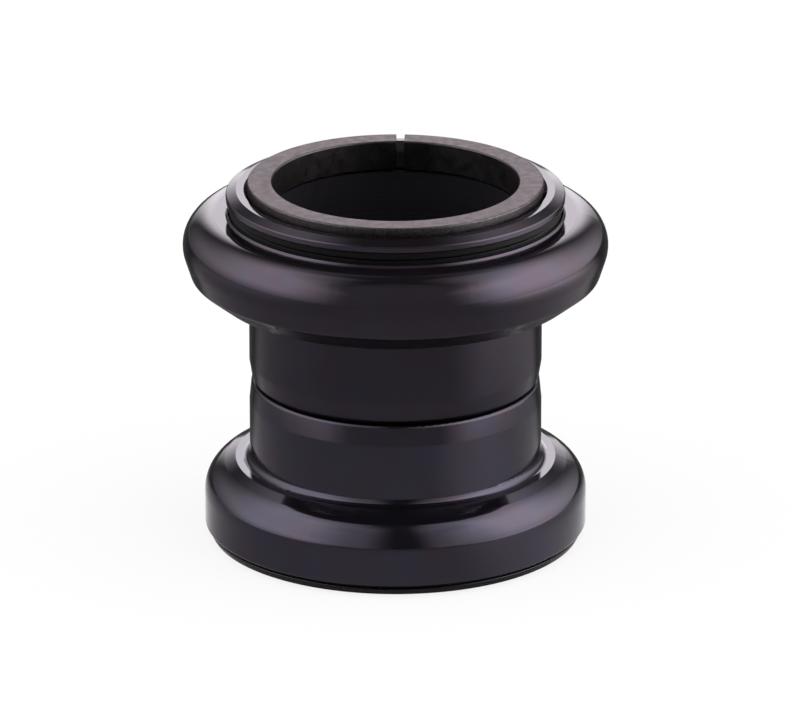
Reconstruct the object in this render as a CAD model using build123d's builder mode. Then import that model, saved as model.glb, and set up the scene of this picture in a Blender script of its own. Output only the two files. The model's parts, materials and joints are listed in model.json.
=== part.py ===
# Bicycle headset for a threadless fork: an upper and a lower ball bearing with external cups,
# stood one on the other with no head tube between them.
# Millimetres, with the steering axis on Z and zero under the crown race.
# Names that end in _r are radii, in _d diameters and in _z heights above zero.
import os
from math import cos, radians, sin, tan

from build123d import *

# Tubes and seats that the headset fits
steerer_d = 28.6
crown_seat_d = 30.0
insert_d = 34.1

# Clearances
steerer_gap = 0.05
sleeve_gap = 0.25
press_gap = 0.01
cone_gap = 0.03
running_gap = 0.05
pocket_gap = 0.06
seal_gap = 0.13

# Ball bearings
ball_d = 3.969
ball_count = 20
contact_angle = 45
track_ease = 0.095
groove_depth = 0.45
race_rim = 0.315
race_lip = 0.2
race_land = 0.2
race_floor = 0.56

# Ball cages
cage_wall = 0.6
cage_rim = 0.4
finger_reach = 1.3

# Crown race
crown_hub_wall = 0.615
crown_hub_land = 0.5
crown_base_t = 1.1
crown_face_lap = 0.6
crown_inset = 0.38
crown_bevel_w = 0.4
crown_bevel_z = 0.3
crown_foot_w = 0.9
crown_edge_fillet = 0.15

# Lower seal
lower_seal_t = 0.27
lower_seal_inset = 0.35
lower_seal_lip_h = 0.35
lower_seal_lip_w = 0.4
lower_seal_lip_gap = 0.2

# Lower cup
lower_cup_wall = 2.43
lower_flange_h = 8.03
lower_seat_w = 1.68
lower_flare_angle = 24
lower_flare_fillet = 3.89
flare_room_share = 0.98
lower_bottom_fillet = 0.3
lower_skirt_length = 9.67
lower_lead_length = 2.5
lower_lead_taper = 0.25
lower_end_fillet = 0.4

# Upper cup
upper_cup_wall = 5.31
upper_flange_h = 9.36
upper_under_w = 2.89
upper_foot_h = 2.25
upper_flank_angle = 18
upper_crown_fillet = 3.7
upper_foot_fillet = 0.7
upper_seat_fillet = 0.5
upper_skirt_length = 10.8
upper_lead_length = 2.5
upper_lead_taper = 0.31
upper_end_chamfer_w = 0.34
upper_end_chamfer_h = 0.55
rim_chamfer = 0.1

# Shared by both cups
skirt_wall = 1.85
skirt_root_fillet = 0.8
bore_edge_fillet = 0.2

# Top cover
cover_overhang = 1.29
cover_t = 1.27
cover_bevel_w = 1.2
cover_bevel_h = 0.48
cover_edge_fillet = 0.2
cover_land_h = 0.35
cover_skirt_lap = 0.6
cover_skirt_wall = 0.9

# Top cone race
sleeve_wall = 0.4
sleeve_ball_gap = 0.165
sleeve_lift = 0.4
cone_race_lap = 0.4
cone_race_edge = 0.76

# Top seal
seal_show = 1.7
seal_foot_depth = 0.41
seal_foot_gap = 0.15
seal_ridge_inset = 0.2
seal_groove_depth = 0.2
seal_groove_h = 0.3
seal_ridge_fillet = 0.12

# Compression ring
ring_wall = 2.85
ring_foot_wall = 0.75
ring_proud = 0.97
ring_side_h = 1.35
ring_cone_angle = 45
ring_edge_fillet = 0.2
ring_slot = 1.0
ring_slot_angle = 88

# Radii that follow
ball_r = ball_d / 2
track_r = ball_r + track_ease
insert_r = insert_d / 2
skirt_bore_r = insert_r - skirt_wall
crown_bore_r = crown_seat_d / 2
ring_bore_r = steerer_d / 2 + steerer_gap
ring_foot_r = ring_bore_r + ring_foot_wall
ring_r = ring_bore_r + ring_wall
sleeve_bore_r = steerer_d / 2 + sleeve_gap
sleeve_r = sleeve_bore_r + sleeve_wall
upper_pitch_r = sleeve_r + sleeve_ball_gap + ball_r
lower_pitch_r = crown_bore_r + crown_hub_wall + ball_r
upper_bore_r = upper_pitch_r + ball_r + race_rim
lower_bore_r = lower_pitch_r + ball_r + race_rim
cone_race_r = upper_pitch_r + cone_race_lap
cover_recess_r = cone_race_r + press_gap
cover_skirt_r = cover_recess_r + cover_skirt_wall
cover_r = cover_skirt_r + cover_overhang
upper_flange_r = upper_bore_r + upper_cup_wall
lower_wall_r = lower_bore_r + lower_cup_wall
crown_base_r = lower_wall_r - crown_inset
crown_face_r = lower_pitch_r + crown_face_lap

# The ball touches its two races along a line at the contact angle, and each race has a
# conical face across that line with the ball groove cut into it
contact_cos = cos(radians(contact_angle))
contact_sin = sin(radians(contact_angle))
face_distance = ball_r + running_gap - groove_depth
track_shift = track_ease - running_gap
race_depth = (race_lip * contact_cos + face_distance) / contact_sin + race_floor

# Heights, from the crown race up
lower_ball_z = crown_base_t + (
    crown_face_lap * contact_cos + face_distance
) / contact_sin
lower_seal_top_z = crown_base_t + lower_seal_t
lower_bottom_z = lower_seal_top_z + seal_gap
lower_floor_z = lower_ball_z + race_depth
lower_seat_z = lower_bottom_z + lower_flange_h
join_z = lower_seat_z + lower_skirt_length
upper_seat_z = join_z + upper_skirt_length
rim_z = upper_seat_z + upper_flange_h
cover_under_z = rim_z + seal_show
cover_top_z = cover_under_z + cover_t
ring_top_z = cover_top_z + ring_proud
ring_cone_z = ring_top_z - ring_side_h
ring_slope = tan(radians(ring_cone_angle))
ring_foot_z = ring_cone_z - (ring_wall - ring_foot_wall) / ring_slope
cover_seat_z = ring_foot_z - cover_land_h
upper_ball_z = cover_seat_z - cone_race_edge - (
    cone_race_lap * contact_cos + face_distance
) / contact_sin
upper_floor_z = upper_ball_z - race_depth

# Which way a bearing's cup opens along Z, and on which side of the balls a race lies
UPWARD = 1
DOWNWARD = -1
TO_CUP = 1
TO_CONE = -1


def outline(*corners):
    """Draw a closed section from its corners, each a radius, a height and a rounding."""
    points = [(radius, height) for radius, height, _ in corners]
    roundings = [rounding for _, _, rounding in corners]
    FilletPolyline(points, radius=roundings, close=True)


def groove_centre(pitch_r, ball_z, opening, toward_race):
    """Middle of a race's ball groove in the section, toward a cup (1) or a cone (-1)."""
    groove_r = pitch_r - toward_race * track_shift * contact_cos
    groove_z = ball_z + opening * toward_race * track_shift * contact_sin
    return groove_r, groove_z


def cup_face_z(radius, pitch_r, ball_z, opening):
    """Height of a cup race's conical face at a radius."""
    return ball_z + opening * ((radius - pitch_r) * contact_cos - face_distance) / contact_sin


def cone_face_z(radius, pitch_r, ball_z, opening):
    """Height of a cone race's conical face at a radius."""
    return ball_z + opening * ((radius - pitch_r) * contact_cos + face_distance) / contact_sin


def save(piece, name):
    """Label a finished piece and write its STEP file."""
    piece.label = name
    export_step(piece, f"parts/{name}.step")


def make_cup_race(name, pitch_r, ball_z, floor_z, opening):
    """A steel race ring, pressed against the floor of a cup."""
    outer_r = pitch_r + ball_r + race_rim - press_gap
    land_r = outer_r - race_land
    inner_r = pitch_r - race_lip
    land_z = cup_face_z(land_r, pitch_r, ball_z, opening)
    inner_z = cup_face_z(inner_r, pitch_r, ball_z, opening)
    with BuildPart() as cup_race:
        with BuildSketch(Plane.XZ):
            with BuildLine():
                outline(
                    (inner_r, floor_z, 0),
                    (outer_r, floor_z, 0),
                    (outer_r, land_z, 0),
                    (land_r, land_z, 0),
                    (inner_r, inner_z, 0),
                )
            make_face()
        revolve(axis=Axis.Z)
        with BuildSketch(Plane.XZ):
            with Locations(groove_centre(pitch_r, ball_z, opening, TO_CUP)):
                Circle(track_r)
        revolve(axis=Axis.Z, mode=Mode.SUBTRACT)
    save(cup_race.part, name)


def make_ball_cage(name, pitch_r, ball_z, opening):
    """A conical retainer whose pockets grip the balls and open on one side, so they snap in."""
    pocket_r = ball_r + pocket_gap
    rim_reach = pocket_r + cage_rim
    band_width = rim_reach + finger_reach
    band_middle = (rim_reach - finger_reach) / 2
    middle_r = pitch_r + band_middle * contact_sin
    middle_z = ball_z + opening * band_middle * contact_cos
    pockets = [
        Plane(
            origin=(pitch_r * cos(turn), pitch_r * sin(turn), ball_z),
            z_dir=(
                contact_cos * cos(turn),
                contact_cos * sin(turn),
                -opening * contact_sin,
            ),
        )
        for turn in ball_turns
    ]
    with BuildPart() as ball_cage:
        with BuildSketch(Plane.XZ):
            with Locations((middle_r, middle_z)):
                Rectangle(band_width, cage_wall, rotation=opening * (90 - contact_angle))
        revolve(axis=Axis.Z)
        with Locations(*pockets):
            Cylinder(pocket_r, ball_d, mode=Mode.SUBTRACT)
    save(ball_cage.part, name)


def make_balls(name, pitch_r, ball_z):
    """The ring of balls of one bearing, each a piece of its own."""
    for number, turn in enumerate(ball_turns, start=1):
        with BuildPart() as ball:
            with Locations((pitch_r * cos(turn), pitch_r * sin(turn), ball_z)):
                Sphere(ball_r)
        save(ball.part, f"{name}_{number:02d}")


ball_turns = [radians(360 * index / ball_count) for index in range(ball_count)]
os.makedirs("parts", exist_ok=True)

# Crown race: a bevelled base that lies on the fork crown, and a hub with the lower cone
crown_bevel_r = crown_base_r - crown_bevel_w
crown_foot_r = crown_bevel_r - crown_foot_w
crown_land_r = crown_bore_r + crown_hub_land
crown_land_z = cone_face_z(crown_land_r, lower_pitch_r, lower_ball_z, DOWNWARD)
with BuildPart() as crown_race:
    with BuildSketch(Plane.XZ):
        with BuildLine():
            outline(
                (crown_bore_r, 0, 0),
                (crown_foot_r, 0, crown_edge_fillet),
                (crown_bevel_r, crown_bevel_z, crown_edge_fillet),
                (crown_base_r, crown_base_t, crown_edge_fillet),
                (crown_face_r, crown_base_t, 0),
                (crown_land_r, crown_land_z, 0),
                (crown_bore_r, crown_land_z, 0),
            )
        make_face()
    revolve(axis=Axis.Z)
    with BuildSketch(Plane.XZ):
        with Locations(groove_centre(lower_pitch_r, lower_ball_z, DOWNWARD, TO_CONE)):
            Circle(track_r)
    revolve(axis=Axis.Z, mode=Mode.SUBTRACT)
save(crown_race.part, "crown_race")

# Lower seal: a rubber washer on the crown race with a lip that stands inside the cup
lower_seal_r = crown_base_r - lower_seal_inset
lower_lip_r = lower_bore_r - lower_seal_lip_gap
lower_lip_z = lower_seal_top_z + lower_seal_lip_h
with BuildPart() as lower_seal:
    with BuildSketch(Plane.XZ):
        with BuildLine():
            outline(
                (crown_face_r + seal_gap, crown_base_t, 0),
                (lower_seal_r, crown_base_t, 0),
                (lower_seal_r, lower_seal_top_z, 0),
                (lower_lip_r, lower_seal_top_z, 0),
                (lower_lip_r, lower_lip_z, 0),
                (lower_lip_r - lower_seal_lip_w, lower_lip_z, 0),
                (lower_lip_r - lower_seal_lip_w, lower_seal_top_z, 0),
                (crown_face_r + seal_gap, lower_seal_top_z, 0),
            )
        make_face()
    revolve(axis=Axis.Z)
save(lower_seal.part, "lower_seal")

# Lower cup: a flared flange that opens downward, and a skirt with a tapered lead-in
lower_seat_r = insert_r + lower_seat_w
lower_corner_z = lower_seat_z - (lower_wall_r - lower_seat_r) * tan(radians(lower_flare_angle))
lower_end_r = insert_r - lower_lead_taper
flare_length = (lower_wall_r - lower_seat_r) / cos(radians(lower_flare_angle))
flare_room = flare_length / tan(radians(90 - lower_flare_angle) / 2)
flare_fillet = min(lower_flare_fillet, flare_room_share * flare_room)
with BuildPart() as lower_cup:
    with BuildSketch(Plane.XZ):
        with BuildLine():
            outline(
                (lower_bore_r, lower_bottom_z, bore_edge_fillet),
                (lower_wall_r, lower_bottom_z, lower_bottom_fillet),
                (lower_wall_r, lower_corner_z, flare_fillet),
                (lower_seat_r, lower_seat_z, 0),
                (insert_r, lower_seat_z, skirt_root_fillet),
                (insert_r, join_z - lower_lead_length, 0),
                (lower_end_r, join_z, lower_end_fillet),
                (skirt_bore_r, join_z, bore_edge_fillet),
                (skirt_bore_r, lower_floor_z, bore_edge_fillet),
                (lower_bore_r, lower_floor_z, 0),
            )
        make_face()
    revolve(axis=Axis.Z)
save(lower_cup.part, "lower_cup")

# Upper cup: a rounded flange with a leaning flank over a conical underside, opening upward
upper_crown_r = upper_flange_r - upper_crown_fillet
upper_crown_z = rim_z - upper_crown_fillet
flank_lean = radians(upper_flank_angle)
flank_top_r = upper_crown_r + upper_crown_fillet * cos(flank_lean)
flank_top_z = upper_crown_z - upper_crown_fillet * sin(flank_lean)
upper_foot_z = upper_seat_z + upper_foot_h
upper_foot_r = flank_top_r - (flank_top_z - upper_foot_z) * tan(flank_lean)
upper_seat_r = upper_foot_r - upper_under_w
upper_corner_r = flank_top_r + (rim_z - flank_top_z) * tan(flank_lean)
upper_lead_r = insert_r - upper_lead_taper
with BuildPart() as upper_cup:
    with BuildSketch(Plane.XZ):
        with BuildLine():
            outline(
                (skirt_bore_r, join_z, bore_edge_fillet),
                (upper_lead_r - upper_end_chamfer_w, join_z, 0),
                (upper_lead_r, join_z + upper_end_chamfer_h, 0),
                (insert_r, join_z + upper_lead_length, 0),
                (insert_r, upper_seat_z, skirt_root_fillet),
                (upper_seat_r, upper_seat_z, upper_seat_fillet),
                (upper_foot_r, upper_foot_z, upper_foot_fillet),
                (upper_corner_r, rim_z, upper_crown_fillet),
                (upper_bore_r + rim_chamfer, rim_z, 0),
                (upper_bore_r, rim_z - rim_chamfer, 0),
                (upper_bore_r, upper_floor_z, 0),
                (skirt_bore_r, upper_floor_z, bore_edge_fillet),
            )
        make_face()
    revolve(axis=Axis.Z)
save(upper_cup.part, "upper_cup")

# Top cone race: the upper cone, with a thin sleeve that closes the bearing from the bore
cone_edge_z = cone_face_z(cone_race_r, upper_pitch_r, upper_ball_z, UPWARD)
cone_root_z = cone_face_z(sleeve_r, upper_pitch_r, upper_ball_z, UPWARD)
sleeve_end_z = upper_floor_z + sleeve_lift
with BuildPart() as top_cone_race:
    with BuildSketch(Plane.XZ):
        with BuildLine():
            outline(
                (sleeve_bore_r, sleeve_end_z, 0),
                (sleeve_r, sleeve_end_z, 0),
                (sleeve_r, cone_root_z, 0),
                (cone_race_r, cone_edge_z, 0),
                (cone_race_r, cover_seat_z, 0),
                (sleeve_bore_r, cover_seat_z, 0),
            )
        make_face()
    revolve(axis=Axis.Z)
    with BuildSketch(Plane.XZ):
        with Locations(groove_centre(upper_pitch_r, upper_ball_z, UPWARD, TO_CONE)):
            Circle(track_r)
    revolve(axis=Axis.Z, mode=Mode.SUBTRACT)
save(top_cone_race.part, "top_cone_race")

# Compression ring: split, with a cone outside that wedges it between cover and steerer
with BuildPart() as compression_ring:
    with BuildSketch(Plane.XZ):
        with BuildLine():
            outline(
                (ring_bore_r, ring_foot_z, 0),
                (ring_foot_r, ring_foot_z, 0),
                (ring_r, ring_cone_z, 0),
                (ring_r, ring_top_z, ring_edge_fillet),
                (ring_bore_r, ring_top_z, ring_edge_fillet),
            )
        make_face()
    revolve(axis=Axis.Z)
    with BuildSketch(Plane.XY.offset(ring_foot_z)):
        with PolarLocations(ring_r, 1, start_angle=ring_slot_angle):
            Rectangle(ring_r, ring_slot)
    extrude(amount=ring_top_z - ring_foot_z, mode=Mode.SUBTRACT)
save(compression_ring.part, "compression_ring")

# Top cover: a bevelled cap with the ring's cone seat, and a skirt that holds cone race and seal
cover_bevel_z = cover_top_z - cover_bevel_h
cover_bore_r = ring_foot_r + cone_gap / cos(radians(ring_cone_angle))
cover_mouth_r = cover_bore_r + (cover_top_z - ring_foot_z) * ring_slope
cover_skirt_z = cover_seat_z - cover_skirt_lap
with BuildPart() as top_cover:
    with BuildSketch(Plane.XZ):
        with BuildLine():
            outline(
                (cover_bore_r, cover_seat_z, 0),
                (cover_recess_r, cover_seat_z, 0),
                (cover_recess_r, cover_skirt_z, 0),
                (cover_skirt_r, cover_skirt_z, 0),
                (cover_skirt_r, cover_under_z, 0),
                (cover_r, cover_under_z, cover_edge_fillet),
                (cover_r, cover_bevel_z, cover_edge_fillet),
                (cover_r - cover_bevel_w, cover_top_z, 0),
                (cover_mouth_r, cover_top_z, 0),
                (cover_bore_r, ring_foot_z, 0),
            )
        make_face()
    revolve(axis=Axis.Z)
save(top_cover.part, "top_cover")

# Top seal: a rubber ring on the cover's skirt, with a groove between its two ridges
seal_ridge_r = cover_r - seal_ridge_inset
seal_foot_r = upper_bore_r - seal_foot_gap
seal_groove_r = seal_foot_r - seal_groove_depth
seal_foot_z = rim_z - seal_foot_depth
seal_bore_r = cover_skirt_r + press_gap
groove_middle_z = (rim_z + cover_under_z) / 2
with BuildPart() as top_seal:
    with BuildSketch(Plane.XZ):
        with BuildLine():
            outline(
                (seal_bore_r, seal_foot_z, 0),
                (seal_foot_r, seal_foot_z, seal_ridge_fillet),
                (seal_foot_r, groove_middle_z - seal_groove_h / 2, seal_ridge_fillet),
                (seal_groove_r, groove_middle_z, 0),
                (seal_ridge_r, groove_middle_z + seal_groove_h / 2, seal_ridge_fillet),
                (seal_ridge_r, cover_under_z, 0),
                (seal_bore_r, cover_under_z, 0),
            )
        make_face()
    revolve(axis=Axis.Z)
save(top_seal.part, "top_seal")

# Ball bearings
make_cup_race("upper_cup_race", upper_pitch_r, upper_ball_z, upper_floor_z, UPWARD)
make_cup_race("lower_cup_race", lower_pitch_r, lower_ball_z, lower_floor_z, DOWNWARD)
make_ball_cage("upper_ball_cage", upper_pitch_r, upper_ball_z, UPWARD)
make_ball_cage("lower_ball_cage", lower_pitch_r, lower_ball_z, DOWNWARD)
make_balls("upper_ball", upper_pitch_r, upper_ball_z)
make_balls("lower_ball", lower_pitch_r, lower_ball_z)
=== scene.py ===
# Looks of the bicycle headset: camera, studio light and the finish of every piece
import json
from math import cos, radians, sin, tau

import bmesh
import bpy
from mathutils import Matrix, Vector


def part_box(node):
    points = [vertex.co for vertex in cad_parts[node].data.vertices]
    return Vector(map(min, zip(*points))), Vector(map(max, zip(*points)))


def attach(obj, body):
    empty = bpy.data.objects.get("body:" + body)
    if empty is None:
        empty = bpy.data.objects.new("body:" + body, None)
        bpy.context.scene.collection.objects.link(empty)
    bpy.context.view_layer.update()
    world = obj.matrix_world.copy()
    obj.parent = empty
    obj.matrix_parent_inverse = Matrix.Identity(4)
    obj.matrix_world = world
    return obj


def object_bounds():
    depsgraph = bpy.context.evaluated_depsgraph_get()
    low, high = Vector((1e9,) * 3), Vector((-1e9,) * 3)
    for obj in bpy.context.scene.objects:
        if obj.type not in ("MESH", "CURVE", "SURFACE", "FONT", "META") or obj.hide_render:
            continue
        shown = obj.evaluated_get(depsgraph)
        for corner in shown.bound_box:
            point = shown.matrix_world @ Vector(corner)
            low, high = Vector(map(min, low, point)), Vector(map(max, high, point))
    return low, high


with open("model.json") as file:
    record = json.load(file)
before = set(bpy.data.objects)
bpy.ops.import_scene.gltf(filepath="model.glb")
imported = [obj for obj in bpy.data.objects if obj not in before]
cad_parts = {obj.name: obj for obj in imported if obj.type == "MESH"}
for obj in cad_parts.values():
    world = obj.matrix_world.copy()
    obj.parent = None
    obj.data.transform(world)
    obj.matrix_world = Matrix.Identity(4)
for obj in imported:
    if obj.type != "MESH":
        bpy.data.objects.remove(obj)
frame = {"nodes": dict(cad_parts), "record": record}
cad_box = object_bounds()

scene = bpy.context.scene
scene.view_settings.view_transform = "Standard"

# Camera, in metres, degrees and pixels of the photograph
IMAGE_WIDTH = 794
FOCAL_PIXELS = 8570
SENSOR_MM = 36
CAMERA_DISTANCE = 1.0
CAMERA_ELEVATION = 19.85
AIM_POINT = Vector((0.000175, 0, 0.02071))
NEAR_CLIP = 0.05
FAR_CLIP = 20

# Floor: its paper, and its glow, which is even to the camera and falls off in two steps in reflections
FLOOR_SIZE = 4.0
FLOOR_COLOUR = (0.88, 0.88, 0.88)
FLOOR_FLECK_COLOUR = (0.85, 0.85, 0.85)
FLOOR_GRAIN_SCALE = 900
FLOOR_GRAIN_SPAN = (0.3, 0.7)
FLOOR_ROUGHNESS = 0.9
FLOOR_GLOW_SHARE = 0.86
POOL_CORE = (0.03, 0.07)
POOL_CORE_LEVEL = 0.85
POOL_LEVEL = 0.66
POOL_EDGE = (0.2, 1.1)
POOL_EDGE_LEVEL = 0.5

# Lamps for matte surfaces, in degrees, metres and watts, and the plain room around them
LAMP_DISTANCE = 1.2
LAMP_SIZE = 1.5
LAMPS = (
    dict(name="left_lamp", azimuth=-70, elevation=62, power=11),
    dict(name="right_lamp", azimuth=75, elevation=60, power=13),
)
ROOM_LEVEL = 0.3

# Light tent that the gloss reflects. Each soft light rises and falls over degrees of azimuth from
# the front toward its side, and over degrees of elevation from its foot to its head. A lean moves
# its front or back edge further back as the light goes up. At the rear every light ends lower. A
# front edge below 0 leaves a light whole at the front.
TENT_RADIUS = 1.2
TENT_SEGMENTS = 96
TENT_WALL_LEVEL = 0.1
FRONT_LEAN_SPAN = (40, 76)
BACK_LEAN_SPAN = (24, 64)
REAR_SPAN = (140, 168)
REAR_HEAD = (46, 64)
TENT_LIGHTS = (
    dict(side="left", front=(24, 72), back=(84, 164), foot=(-16, 26), head=(54, 82), level=6.3,
         front_lean=26, back_lean=30),
    dict(side="right", front=(27, 78), back=(88, 164), foot=(-40, 24), head=(42, 84), level=9.7,
         front_lean=26, back_lean=22),
    dict(side="both", front=(156, 174), back=(190, 200), foot=(-14, 20), head=(20, 36), level=5.9),
)

# Fill tents, each for the gloss of one half
UPPER_FILL_RADIUS = 1.0
UPPER_FILLS = (
    dict(side="both", front=(-2, -1), back=(36, 80), foot=(-20, 0), head=(60, 110), level=0.6),
)
LOWER_FILL_RADIUS = 1.1
LOWER_FILLS = (
    dict(side="left", front=(0, 26), back=(30, 80), foot=(-16, 2), head=(60, 80), level=2.2),
    dict(side="right", front=(10, 30), back=(36, 62), foot=(-16, 2), head=(60, 80), level=2.0),
    dict(side="left", front=(28, 60), back=(84, 130), foot=(-16, 4), head=(2, 24), level=2.8),
    dict(side="both", front=(156, 174), back=(190, 200), foot=(-14, 20), head=(20, 36), level=0.9),
    dict(side="left", front=(20, 60), back=(64, 104), foot=(46, 68), head=(72, 92), level=2.2),
    dict(side="right", front=(24, 62), back=(68, 106), foot=(44, 66), head=(72, 92), level=3.0),
)

# Cards on the floor that only reflections see. Each soft patch spans degrees of azimuth and metres
# from the axis, and hides a share of the floor or adds a level of its own light.
CARD_LIFT = 0.0002
ROOM_CARDS = (
    dict(side="both", front=(120, 138), back=(168, 180), near=(0.02, 0.024), far=(0.5, 0.8), hides=0.85),
    dict(side="right", front=(36, 76), back=(92, 134), near=(0.0, 0.3), far=(0.9, 1.1), level=6.2),
    dict(side="left", front=(36, 76), back=(92, 134), near=(0.0, 0.3), far=(0.9, 1.1), level=0.9),
)
LOWER_CARDS = (
    dict(side="right", front=(20, 48), back=(60, 100), near=(0.02, 0.024), far=(0.06, 0.09), level=0.9),
    dict(side="both", front=(30, 60), back=(84, 120), near=(0.07, 0.14), far=(0.5, 0.9), level=3.0),
    dict(side="both", front=(-2, -1), back=(96, 130), near=(0.02, 0.024), far=(0.06, 0.09), level=0.25),
)
COVER_CARDS = (
    dict(side="both", front=(-2, -1), back=(100, 130), near=(0.09, 0.11), far=(0.16, 0.2), level=0.33),
    dict(side="both", front=(30, 70), back=(100, 130), near=(0.09, 0.11), far=(0.16, 0.2), level=0.65),
)

# Lip round the mouth of the upper cup, in metres: points out from the mouth's edge and up from the rim
UPPER_CUP_WALL = 0.00531
LIP_OUTLINE = (
    (0.00008, -0.00002),
    (0.00036, -0.00002),
    (0.00024, 0.00022),
    (0.00020, 0.00028),
    (0.00014, 0.00030),
    (0.00008, 0.00026),
)
LIP_SEGMENTS = 240
LIP_SHARP_ANGLE = 40

# Where finishes and painted shade change, in metres from the axis or up it, and the shares of colour
# left under painted shade and of grain inside
# Painted shade: the black gloss's colour is scaled down to this share inside this radius
BORE_SHADE_SPAN = (0.0164, 0.0169)
BORE_SHADE_SHARE = 0.2
RING_BORE_SPAN = (0.0144, 0.0147)
# Painted shade: the ring's colour is scaled down to this share in its bore
RING_BORE_SHADE_SHARE = 0.85
RING_BORE_GRAIN = 0.3
HALVES_SPAN = (0.012, 0.03)
HALVES_TINT = 0.08

# Parts of a noise's range that colours and roughness follow
NOISE_SPAN = (0.35, 0.65)
NOISE_MIDDLE = 0.5
CLOUD_SPAN = (0.34, 0.66)
GRAIN_SPAN = (0.38, 0.62)
OXIDE_SPAN = (0.36, 0.64)


def around(azimuth, elevation, distance):
    """A point seen from the aim point, with azimuth 0 toward the camera and 90 to its right."""
    turn = radians(azimuth)
    lift = radians(elevation)
    flat = distance * cos(lift)
    return AIM_POINT + Vector((flat * sin(turn), -flat * cos(turn), distance * sin(lift)))


def point_at(thing, place, aim):
    """Put a thing at a place with its local -Z toward the aim."""
    thing.location = place
    thing.rotation_euler = (aim - place).to_track_quat("-Z", "Y").to_euler()


def make_camera():
    """The photograph's view: a long lens a little above the object."""
    data = bpy.data.cameras.new("camera")
    data.sensor_fit = "HORIZONTAL"
    data.sensor_width = SENSOR_MM
    data.lens = FOCAL_PIXELS * SENSOR_MM / IMAGE_WIDTH
    data.clip_start = NEAR_CLIP
    data.clip_end = FAR_CLIP
    camera = bpy.data.objects.new("camera", data)
    scene.collection.objects.link(camera)
    point_at(camera, around(0, CAMERA_ELEVATION, CAMERA_DISTANCE), AIM_POINT)
    scene.camera = camera


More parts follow.
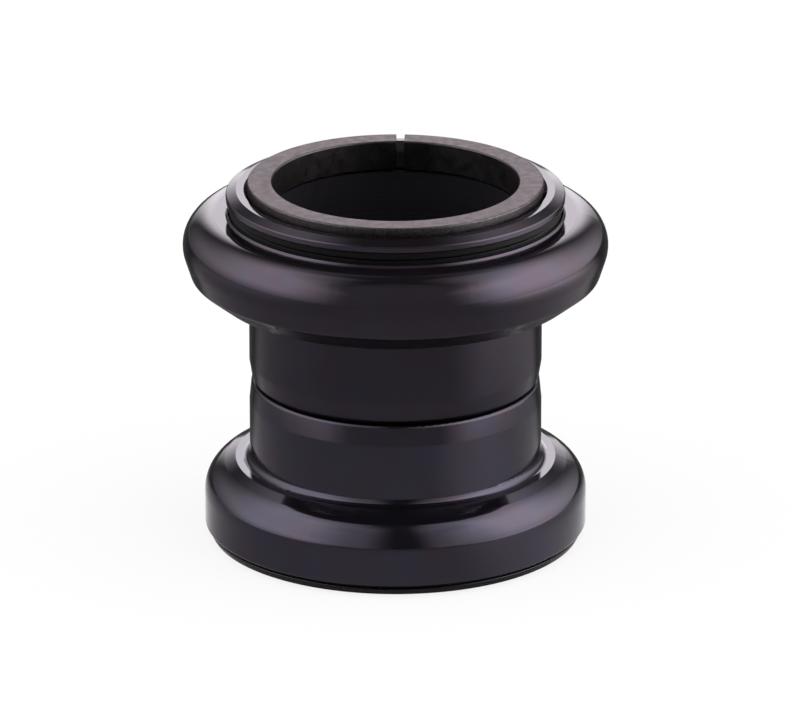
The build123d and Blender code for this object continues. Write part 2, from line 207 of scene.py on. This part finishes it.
class Finish:
    """A material with a principled shader, and short calls that add nodes to it."""

    def __init__(self, name):
        self.material = bpy.data.materials.new(name)
        self.material.use_nodes = True
        self.nodes = self.material.node_tree.nodes
        self.links = self.material.node_tree.links
        self.shader = self.nodes["Principled BSDF"]
        coordinates = self.nodes.new("ShaderNodeTexCoord")
        self.place = coordinates.outputs["Object"]

    def set(self, **values):
        """Set the shader's own sockets, with underscores for the spaces in their names."""
        for name, value in values.items():
            self.shader.inputs[name.replace("_", " ")].default_value = value

    def drive(self, socket, value):
        """Feed a shader socket from a node."""
        self.links.new(value, self.shader.inputs[socket])

    def noise(self, scale, detail=3, roughness=0.5):
        """A noise that fills the piece, as a value around one half."""
        node = self.nodes.new("ShaderNodeTexNoise")
        node.inputs["Scale"].default_value = scale
        node.inputs["Detail"].default_value = detail
        node.inputs["Roughness"].default_value = roughness
        self.links.new(self.place, node.inputs["Vector"])
        return node.outputs["Fac"]

    def math(self, operation, first, second=None):
        """A maths node on outputs or plain numbers."""
        node = self.nodes.new("ShaderNodeMath")
        node.operation = operation
        for socket, value in zip(node.inputs, (first, second)):
            if isinstance(value, (int, float)):
                socket.default_value = value
            elif value is not None:
                self.links.new(value, socket)
        return node.outputs["Value"]

    def between(self, value, low, high, span=NOISE_SPAN, kind="LINEAR"):
        """A value that goes from low to high over a span of another."""
        node = self.nodes.new("ShaderNodeMapRange")
        node.interpolation_type = kind
        node.inputs["From Min"].default_value = span[0]
        node.inputs["From Max"].default_value = span[1]
        node.inputs["To Min"].default_value = low
        node.inputs["To Max"].default_value = high
        self.links.new(value, node.inputs["Value"])
        return node.outputs["Result"]

    def slope(self, value, low, high, span):
        """A soft step from low to high over a span of a value."""
        return self.between(value, low, high, span, "SMOOTHSTEP")

    def axes(self):
        """The place on the piece as its X, Y and Z."""
        split = self.nodes.new("ShaderNodeSeparateXYZ")
        self.links.new(self.place, split.inputs["Vector"])
        return [split.outputs[axis] for axis in "XYZ"]

    def radius(self):
        """The distance from the steering axis."""
        x, y, _ = self.axes()
        return self.math("SQRT", self.math("ADD", self.math("POWER", x, 2), self.math("POWER", y, 2)))

    def azimuth(self, side):
        """Degrees from the front about the steering axis, counted to the left, right or both sides."""
        x, y, _ = self.axes()
        angle = self.math("DEGREES", self.math("ARCTAN2", x, self.math("MULTIPLY", y, -1)))
        if side == "both":
            return self.math("ABSOLUTE", angle)
        return self.math("MULTIPLY", angle, -1 if side == "left" else 1)

    def elevation(self):
        """Degrees above the level of the piece's own origin."""
        return self.math("DEGREES", self.math("ARCTAN2", self.axes()[2], self.radius()))

    def colours(self, value, *shades, span=NOISE_SPAN):
        """A colour from a ramp that goes evenly through some shades over a span of a value."""
        node = self.nodes.new("ShaderNodeValToRGB")
        elements = node.color_ramp.elements
        while len(elements) < len(shades):
            elements.new(1)
        step = (span[1] - span[0]) / (len(shades) - 1)
        for index, shade in enumerate(shades):
            elements[index].position = span[0] + index * step
            elements[index].color = (*shade, 1)
        self.links.new(value, node.inputs["Fac"])
        return node.outputs["Color"]

    def shaded(self, colour, share):
        """A colour scaled by a share."""
        node = self.nodes.new("ShaderNodeVectorMath")
        node.operation = "SCALE"
        self.links.new(colour, node.inputs["Vector"])
        self.links.new(share, node.inputs["Scale"])
        return node.outputs["Vector"]

    def lathe_lines(self, scale, detail=4):
        """Fine turning marks: rings about the steering axis that follow the turned profile."""
        travel = self.math("SUBTRACT", self.radius(), self.axes()[2])
        node = self.nodes.new("ShaderNodeTexNoise")
        node.noise_dimensions = "1D"
        node.inputs["Scale"].default_value = scale
        node.inputs["Detail"].default_value = detail
        self.links.new(travel, node.inputs["W"])
        return node.outputs["Fac"]

    def bump(self, height, distance, strength):
        """Relief of a depth in metres on the shader's normal."""
        node = self.nodes.new("ShaderNodeBump")
        node.inputs["Distance"].default_value = distance
        node.inputs["Strength"].default_value = strength
        self.links.new(height, node.inputs["Height"])
        self.drive("Normal", node.outputs["Normal"])

    def glow(self, strength):
        """Light of a strength, as a shader."""
        node = self.nodes.new("ShaderNodeEmission")
        self.links.new(strength, node.inputs["Strength"])
        return node.outputs["Emission"]

    def clear(self, share, glow):
        """A glow over a clear sheet that lets a share of what is behind it through."""
        sheet = self.nodes.new("ShaderNodeBsdfTransparent")
        if isinstance(share, (int, float)):
            sheet.inputs["Color"].default_value = (share, share, share, 1)
        else:
            self.links.new(share, sheet.inputs["Color"])
        both = self.nodes.new("ShaderNodeAddShader")
        self.links.new(sheet.outputs["BSDF"], both.inputs[0])
        self.links.new(glow, both.inputs[1])
        return both.outputs["Shader"]

    def show(self, shader):
        """Make a shader the material's surface."""
        self.links.new(shader, self.nodes["Material Output"].inputs["Surface"])


def gloss_black():
    """Polished black anodising in faint clouds, browner above and bluer below, with painted shade
    darkening it in the bores.
    """
    finish = Finish("gloss_black")
    finish.set(Metallic=0.8, IOR=1.25, Specular_Tint=(0.71, 0.69, 0.71, 1))
    brown = (0.0248, 0.0191, 0.0244)
    plum = (0.0236, 0.0200, 0.0272)
    blue = (0.0226, 0.0207, 0.0292)
    halves = finish.between(finish.axes()[2], HALVES_TINT, -HALVES_TINT, HALVES_SPAN)
    clouds = finish.math("ADD", finish.noise(scale=210, detail=2), halves)
    colour = finish.colours(clouds, brown, plum, blue, span=CLOUD_SPAN)
    # Painted shade: the colour is darkened inside the bores
    bore_shade = finish.slope(finish.radius(), BORE_SHADE_SHARE, 1, BORE_SHADE_SPAN)
    finish.drive("Base Color", finish.shaded(colour, bore_shade))
    finish.drive("Roughness", finish.between(finish.noise(scale=420, detail=4), low=0.07, high=0.11))
    finish.bump(finish.lathe_lines(scale=9000), distance=0.00001, strength=0.08)
    return finish.material


def matte_grey():
    """Dark anodising on a blasted ring, with a fine grain, smoother in its bore, where painted shade
    darkens it.
    """
    finish = Finish("matte_grey")
    finish.set(Metallic=0.95, Specular_Tint=(0.62, 0.58, 0.60, 1))
    pit = (0.020, 0.018, 0.019)
    peak = (0.050, 0.045, 0.047)
    speckle = finish.noise(scale=3600, detail=5, roughness=0.65)
    depth = finish.slope(finish.radius(), RING_BORE_GRAIN, 1, RING_BORE_SPAN)
    relief = finish.math("MULTIPLY", finish.math("SUBTRACT", speckle, NOISE_MIDDLE), depth)
    grain = finish.math("ADD", relief, NOISE_MIDDLE)
    # Painted shade: the colour is darkened in the ring's bore
    ring_bore_shade = finish.slope(finish.radius(), RING_BORE_SHADE_SHARE, 1, RING_BORE_SPAN)
    finish.drive("Base Color", finish.shaded(finish.colours(grain, pit, peak, span=GRAIN_SPAN), ring_bore_shade))
    finish.drive("Roughness", finish.between(finish.noise(scale=900, detail=4), low=0.33, high=0.43))
    finish.bump(grain, distance=0.00005, strength=0.6)
    return finish.material


def seal_rubber():
    """Moulded black rubber with a satin skin."""
    finish = Finish("seal_rubber")
    finish.set(Metallic=0, IOR=1.15)
    dark = (0.0058, 0.0056, 0.0060)
    light = (0.0090, 0.0086, 0.0092)
    skin = finish.noise(scale=2600, detail=4)
    finish.drive("Base Color", finish.colours(skin, dark, light))
    finish.drive("Roughness", finish.between(skin, low=0.42, high=0.55))
    finish.bump(skin, distance=0.00002, strength=0.12)
    return finish.material


def black_steel():
    """Black oxide on turned steel, with a satin sheen and turning marks."""
    finish = Finish("black_steel")
    finish.set(Metallic=0.9, Specular_Tint=(0.6, 0.58, 0.6, 1))
    brown = (0.0150, 0.0115, 0.0120)
    blue = (0.0125, 0.0120, 0.0145)
    finish.drive("Base Color", finish.colours(finish.noise(scale=150), brown, blue, span=OXIDE_SPAN))
    finish.drive("Roughness", finish.between(finish.noise(scale=900), low=0.2, high=0.3))
    finish.bump(finish.lathe_lines(scale=5000), distance=0.00001, strength=0.1)
    return finish.material


def race_steel():
    """Hardened race steel under a dark phosphate coat, with grinding marks."""
    finish = Finish("race_steel")
    finish.set(Metallic=0, IOR=1.2)
    dark = (0.0090, 0.0080, 0.0104)
    light = (0.0144, 0.0128, 0.0166)
    lines = finish.lathe_lines(scale=6000)
    finish.drive("Base Color", finish.colours(lines, dark, light))
    finish.drive("Roughness", finish.between(finish.noise(scale=700), low=0.4, high=0.5))
    finish.bump(lines, distance=0.00001, strength=0.12)
    return finish.material


def cage_steel():
    """Stamped retainer steel with a dull yellow plating and rolling marks."""
    finish = Finish("cage_steel")
    finish.set(Metallic=1)
    dark = (0.40, 0.37, 0.30)
    light = (0.52, 0.49, 0.41)
    lines = finish.lathe_lines(scale=3500)
    finish.drive("Base Color", finish.colours(lines, dark, light))
    finish.drive("Roughness", finish.between(finish.noise(scale=700), low=0.3, high=0.42))
    finish.bump(lines, distance=0.00001, strength=0.12)
    return finish.material


def ball_steel():
    """Polished bearing steel with the faintest haze."""
    finish = Finish("ball_steel")
    finish.set(Metallic=1)
    dark = (0.58, 0.58, 0.60)
    light = (0.66, 0.66, 0.67)
    haze = finish.noise(scale=1400)
    finish.drive("Base Color", finish.colours(haze, dark, light))
    finish.drive("Roughness", finish.between(haze, low=0.05, high=0.1))
    return finish.material


def dress_nodes():
    """Give every CAD node the finish that its material slot names, and return the finishes."""
    makers = (
        gloss_black, matte_grey, seal_rubber, black_steel, race_steel, cage_steel, ball_steel,
    )
    finishes = {maker.__name__: maker() for maker in makers}
    for subpart in frame["record"]["subparts"]:
        materials = frame["nodes"][subpart["node"]].data.materials
        materials.clear()
        materials.append(finishes[subpart["material_slot"]])
    return finishes


def make_lip(material):
    """The small turned lip round the mouth of the upper cup, on the flat of its rim."""
    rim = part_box("upper_cup")[1]
    mouth_radius = rim[0] - UPPER_CUP_WALL
    points = []
    for step in range(LIP_SEGMENTS):
        turn = tau * step / LIP_SEGMENTS
        for out, up in LIP_OUTLINE:
            radius = mouth_radius + out
            points.append((radius * cos(turn), radius * sin(turn), rim[2] + up))
    corners = len(LIP_OUTLINE)
    faces = []
    for step in range(LIP_SEGMENTS):
        here = step * corners
        there = (step + 1) % LIP_SEGMENTS * corners
        for corner in range(corners):
            after = (corner + 1) % corners
            faces.append((here + corner, there + corner, there + after, here + after))
    mesh = bpy.data.meshes.new("upper_cup_lip")
    mesh.from_pydata(points, [], faces)
    mesh.shade_smooth()
    mesh.set_sharp_from_angle(angle=radians(LIP_SHARP_ANGLE))
    mesh.materials.append(material)
    lip = bpy.data.objects.new("upper_cup_lip", mesh)
    scene.collection.objects.link(lip)
    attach(lip, "cups")
    return lip


def flat_square(name, half, height):
    """A level square on the axis, as a stage piece."""
    corners = [
        (-half, -half, height),
        (half, -half, height),
        (half, half, height),
        (-half, half, height),
    ]
    mesh = bpy.data.meshes.new(name)
    mesh.from_pydata(corners, [], [range(len(corners))])
    square = bpy.data.objects.new(name, mesh)
    scene.collection.objects.link(square)
    return square


def make_floor():
    """A plain pale sheet under the object, white to the camera but for the object's shadow."""
    floor = flat_square("floor", FLOOR_SIZE / 2, cad_box[0][2])
    finish = Finish("floor_paper")
    finish.set(Roughness=FLOOR_ROUGHNESS, Specular_IOR_Level=0)
    grain = finish.noise(FLOOR_GRAIN_SCALE)
    paper = finish.colours(grain, FLOOR_FLECK_COLOUR, FLOOR_COLOUR, span=FLOOR_GRAIN_SPAN)
    finish.drive("Base Color", paper)
    rays = finish.nodes.new("ShaderNodeLightPath").outputs
    seen = finish.math("MAXIMUM", rays["Is Camera Ray"], rays["Is Glossy Ray"])
    seen = finish.math("MAXIMUM", seen, rays["Is Transmission Ray"])
    core = finish.slope(finish.radius(), POOL_CORE_LEVEL, POOL_LEVEL, POOL_CORE)
    edge = finish.slope(finish.radius(), 1, POOL_EDGE_LEVEL, POOL_EDGE)
    pool = finish.math("MAXIMUM", finish.math("MULTIPLY", core, edge), rays["Is Camera Ray"])
    mix = finish.nodes.new("ShaderNodeMixShader")
    finish.links.new(finish.math("MULTIPLY", seen, FLOOR_GLOW_SHARE), mix.inputs["Fac"])
    finish.links.new(finish.shader.outputs["BSDF"], mix.inputs[1])
    finish.links.new(finish.glow(pool), mix.inputs[2])
    finish.show(mix.outputs["Shader"])
    floor.data.materials.append(finish.material)


def only_reflected(thing, finish, receivers):
    """Give a stage piece its glow, hide it from all but reflections, and link it to its receivers."""
    finish.material.cycles.emission_sampling = "NONE"
    thing.data.materials.append(finish.material)
    thing.visible_camera = False
    thing.visible_diffuse = False
    thing.visible_shadow = False
    if receivers:
        thing.light_linking.receiver_collection = receivers


def soft_patch(finish, *edges):
    """The product of soft edges, each a value, its level before and after, and its span."""
    patch = 1
    for value, before, after, span in edges:
        patch = finish.math("MULTIPLY", finish.slope(value, before, after, span), patch)
    return patch


def tent_light(finish, side, front, back, foot, head, level, front_lean=0, back_lean=0):
    """The level of one soft light on a tent."""
    azimuth = finish.azimuth(side)
    elevation = finish.elevation()
    front_shift = finish.slope(elevation, 0, front_lean, FRONT_LEAN_SPAN)
    back_shift = finish.slope(elevation, 0, back_lean, BACK_LEAN_SPAN)
    patch = soft_patch(
        finish,
        (finish.math("SUBTRACT", azimuth, front_shift), 0, level, front),
        (finish.math("SUBTRACT", azimuth, back_shift), 1, 0, back),
        (elevation, 0, 1, foot),
        (elevation, 1, 0, head),
    )
    rear = soft_patch(finish, (azimuth, 0, 1, REAR_SPAN), (elevation, 0, 1, REAR_HEAD))
    return finish.math("MULTIPLY", patch, finish.math("SUBTRACT", 1, rear))


def make_tent(name, radius, lights, wall_level=0, receivers=None):
    """A tent with soft lights for reflections. One with receivers adds its light to theirs alone."""
    mesh = bpy.data.meshes.new(name)
    shell = bmesh.new()
    bmesh.ops.create_uvsphere(
        shell, u_segments=TENT_SEGMENTS, v_segments=TENT_SEGMENTS // 2, radius=radius
    )
    shell.to_mesh(mesh)
    shell.free()
    tent = bpy.data.objects.new(name, mesh)
    tent.location = AIM_POINT
    scene.collection.objects.link(tent)
    finish = Finish(name)
    level = wall_level
    for light in lights:
        level = finish.math("ADD", tent_light(finish, **light), level)
    glow = finish.glow(level)
    finish.show(finish.clear(1, glow) if receivers else glow)
    only_reflected(tent, finish, receivers)


def make_card(name, patches, layer, receivers=None):
    """A card on the floor with soft light or dark patches for reflections."""
    reach = max(patch["far"][1] for patch in patches)
    card = flat_square(name, reach, cad_box[0][2] + layer * CARD_LIFT)
    finish = Finish(name)
    level = 0
    hidden = 0
    for patch in patches:
        azimuth = finish.azimuth(patch["side"])
        radius = finish.radius()
        cover = soft_patch(
            finish,
            (azimuth, 0, 1, patch["front"]),
            (azimuth, 1, 0, patch["back"]),
            (radius, 0, 1, patch["near"]),
            (radius, 1, 0, patch["far"]),
        )
        level = finish.math("ADD", finish.math("MULTIPLY", cover, patch.get("level", 0)), level)
        hidden = finish.math("ADD", finish.math("MULTIPLY", cover, patch.get("hides", 0)), hidden)
    finish.show(finish.clear(finish.math("SUBTRACT", 1, hidden), finish.glow(level)))
    only_reflected(card, finish, receivers)


def receivers_of(name, things):
    """A collection of the pieces that a linked light shines on."""
    receivers = bpy.data.collections.new(name)
    for thing in things:
        receivers.objects.link(thing)
    return receivers


def make_reflections(lip):
    """The tents and cards that the gloss shows."""
    nodes = frame["nodes"]
    cover = receivers_of("cover_gloss", [nodes["top_cover"]])
    upper = receivers_of("upper_gloss", [nodes["top_cover"], nodes["upper_cup"], lip])
    lower = receivers_of("lower_gloss", [nodes["lower_cup"]])
    make_tent("tent", TENT_RADIUS, TENT_LIGHTS, TENT_WALL_LEVEL)
    make_tent("upper_fill", UPPER_FILL_RADIUS, UPPER_FILLS, receivers=upper)
    make_tent("lower_fill", LOWER_FILL_RADIUS, LOWER_FILLS, receivers=lower)
    make_card("room_card", ROOM_CARDS, layer=1)
    make_card("lower_card", LOWER_CARDS, layer=2, receivers=lower)
    make_card("cover_card", COVER_CARDS, layer=3, receivers=cover)


def make_lights():
    """Large lamps that light matte surfaces and leave the reflections to the tent, in a plain room."""
    for lamp in LAMPS:
        data = bpy.data.lights.new(lamp["name"], "AREA")
        data.size = LAMP_SIZE
        data.energy = lamp["power"]
        thing = bpy.data.objects.new(lamp["name"], data)
        scene.collection.objects.link(thing)
        point_at(thing, around(lamp["azimuth"], lamp["elevation"], LAMP_DISTANCE), AIM_POINT)
        thing.visible_camera = False
        thing.visible_glossy = False
    world = bpy.data.worlds.new("room")
    world.use_nodes = True
    background = world.node_tree.nodes["Background"]
    background.inputs["Color"].default_value = (1, 1, 1, 1)
    background.inputs["Strength"].default_value = ROOM_LEVEL
    scene.world = world


make_camera()
finishes = dress_nodes()
lip = make_lip(finishes["gloss_black"])
make_floor()
make_reflections(lip)
make_lights()
